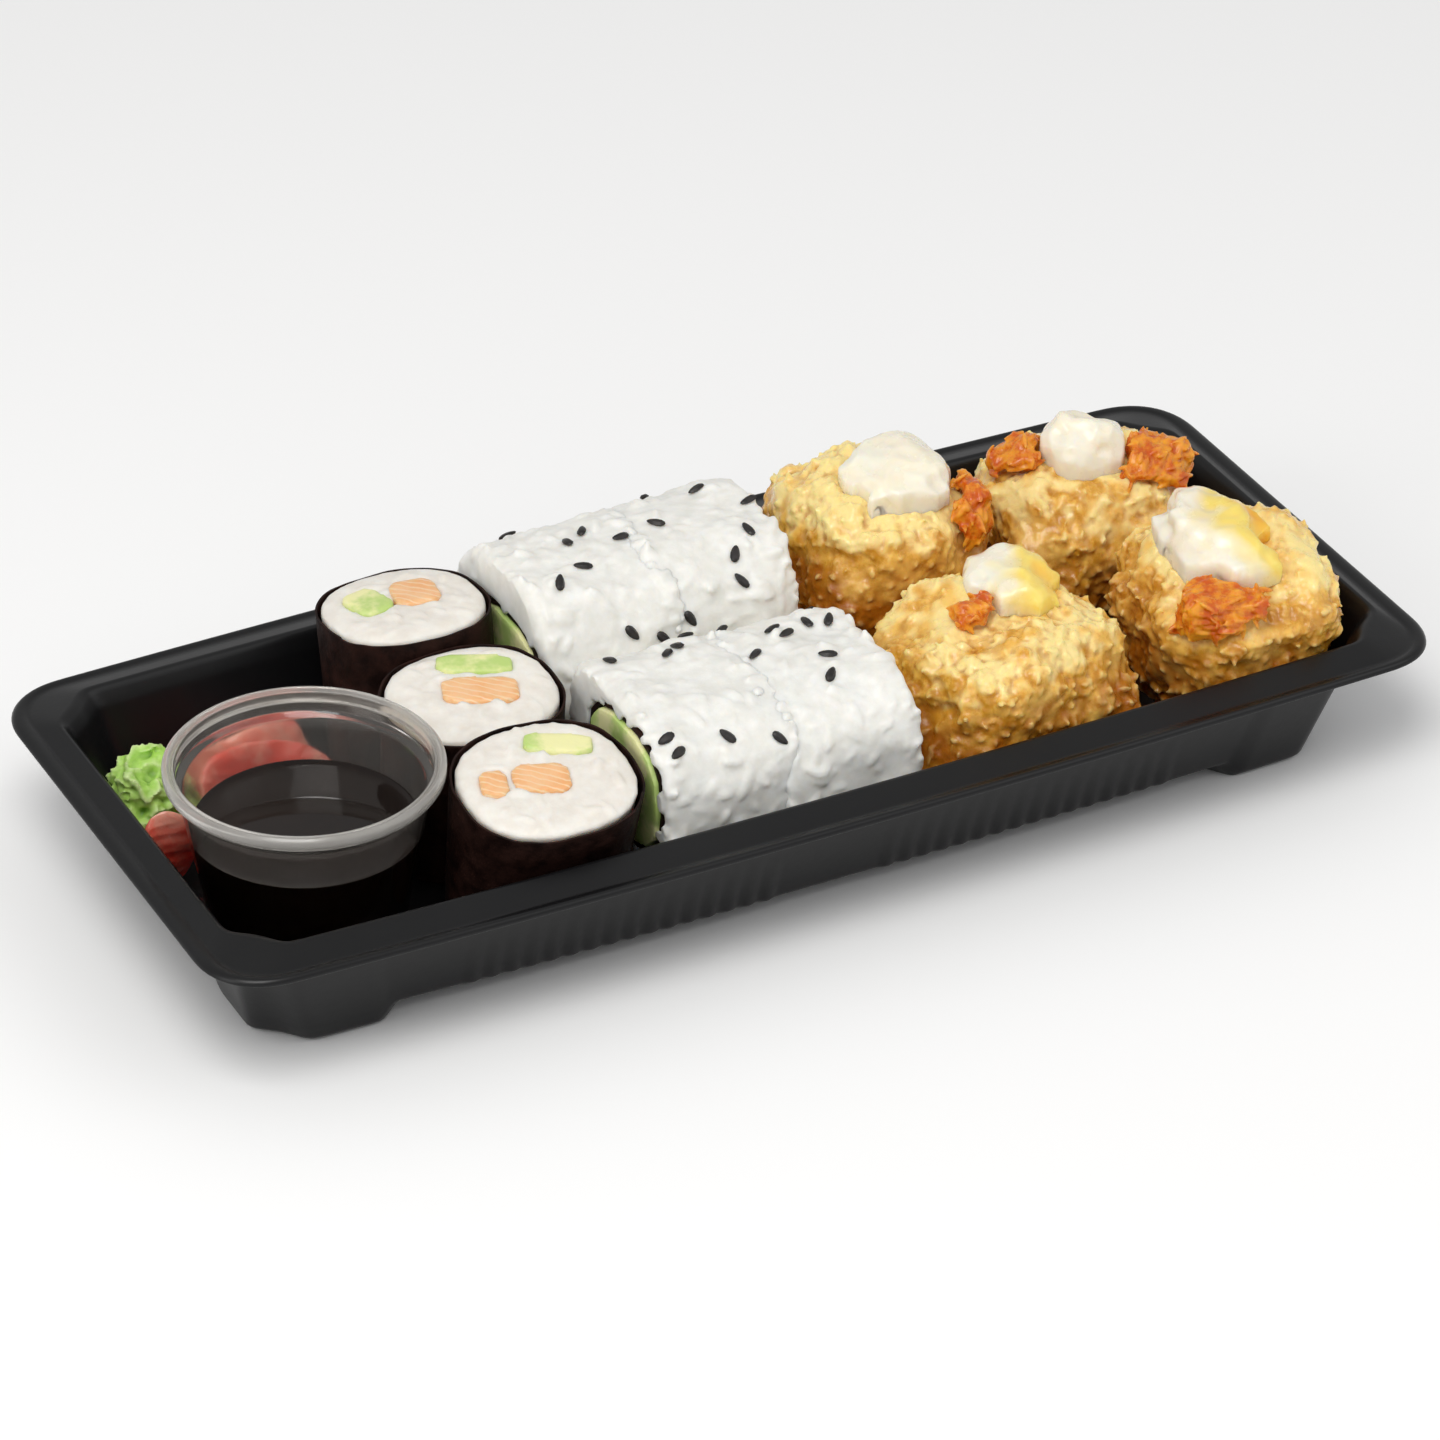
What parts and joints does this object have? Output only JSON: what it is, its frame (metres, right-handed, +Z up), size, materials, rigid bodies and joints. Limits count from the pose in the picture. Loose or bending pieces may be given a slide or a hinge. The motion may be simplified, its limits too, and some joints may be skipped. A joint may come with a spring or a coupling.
{
  "type": "takeaway sushi tray",
  "caption": "Black takeaway tray of sushi: nori rolls on end, sesame rice rolls, crumbed fried pieces topped with mayonnaise, a clear cup of soy sauce, ginger and wasabi.",
  "frame": {"origin": "middle of the footprint, on the surface the feet of the tray stand on", "axes": "+X along the tray from the sauce cup to the fried pieces, +Y from its front to its back, +Z up"},
  "size_m": [0.2164, 0.0954, 0.0454],
  "materials": {
    "tray": "satin black thermoformed sheet",
    "cup": "clear glossy thermoformed sheet",
    "soy": "glossy dark liquid",
    "wasabi": "rough moist paste",
    "ginger": "wet translucent slice",
    "nori": "thin dark sheet with a faint sheen",
    "rice": "moist cooked grains",
    "avocado": "soft cut face",
    "salmon": "moist cut face",
    "fried": "coarse fried crumb",
    "mayonnaise": "glossy thick sauce",
    "crab": "moist flakes"
  },
  "bodies": {
    "root": {"crab_back_left": "crab", "crab_back_right_a": "crab", "crab_back_right_b": "crab", "crab_front_left": "crab", "crab_front_right": "crab", "fried_back_left": "fried", "fried_back_right": "fried", "fried_front_left": "fried", "fried_front_right": "fried", "ginger_slice_a": "ginger", "ginger_slice_b": "ginger", "ginger_slice_c": "ginger", "mayonnaise_back_left": "mayonnaise", "mayonnaise_back_right": "mayonnaise", "mayonnaise_front_left": "mayonnaise", "mayonnaise_front_right": "mayonnaise", "nori_roll_back_avocado": "avocado", "nori_roll_back_nori": "nori", "nori_roll_back_rice": "rice", "nori_roll_back_salmon": "salmon", "nori_roll_front_avocado": "avocado", "nori_roll_front_nori": "nori", "nori_roll_front_rice": "rice", "nori_roll_front_salmon": "salmon", "nori_roll_front_salmon_end": "salmon", "nori_roll_middle_avocado": "avocado", "nori_roll_middle_nori": "nori", "nori_roll_middle_rice": "rice", "nori_roll_middle_salmon": "salmon", "rice_roll_back_left_avocado": "avocado", "rice_roll_back_left_nori": "nori", "rice_roll_back_left_rice": "rice", "rice_roll_back_right_avocado": "avocado", "rice_roll_back_right_nori": "nori", "rice_roll_back_right_rice": "rice", "rice_roll_front_left_avocado": "avocado", "rice_roll_front_left_nori": "nori", "rice_roll_front_left_rice": "rice", "rice_roll_front_right_avocado": "avocado", "rice_roll_front_right_nori": "nori", "rice_roll_front_right_rice": "rice", "sauce_cup": "cup", "soy_sauce": "soy", "tray": "tray", "wasabi": "wasabi"}
  },
  "joints": []
}
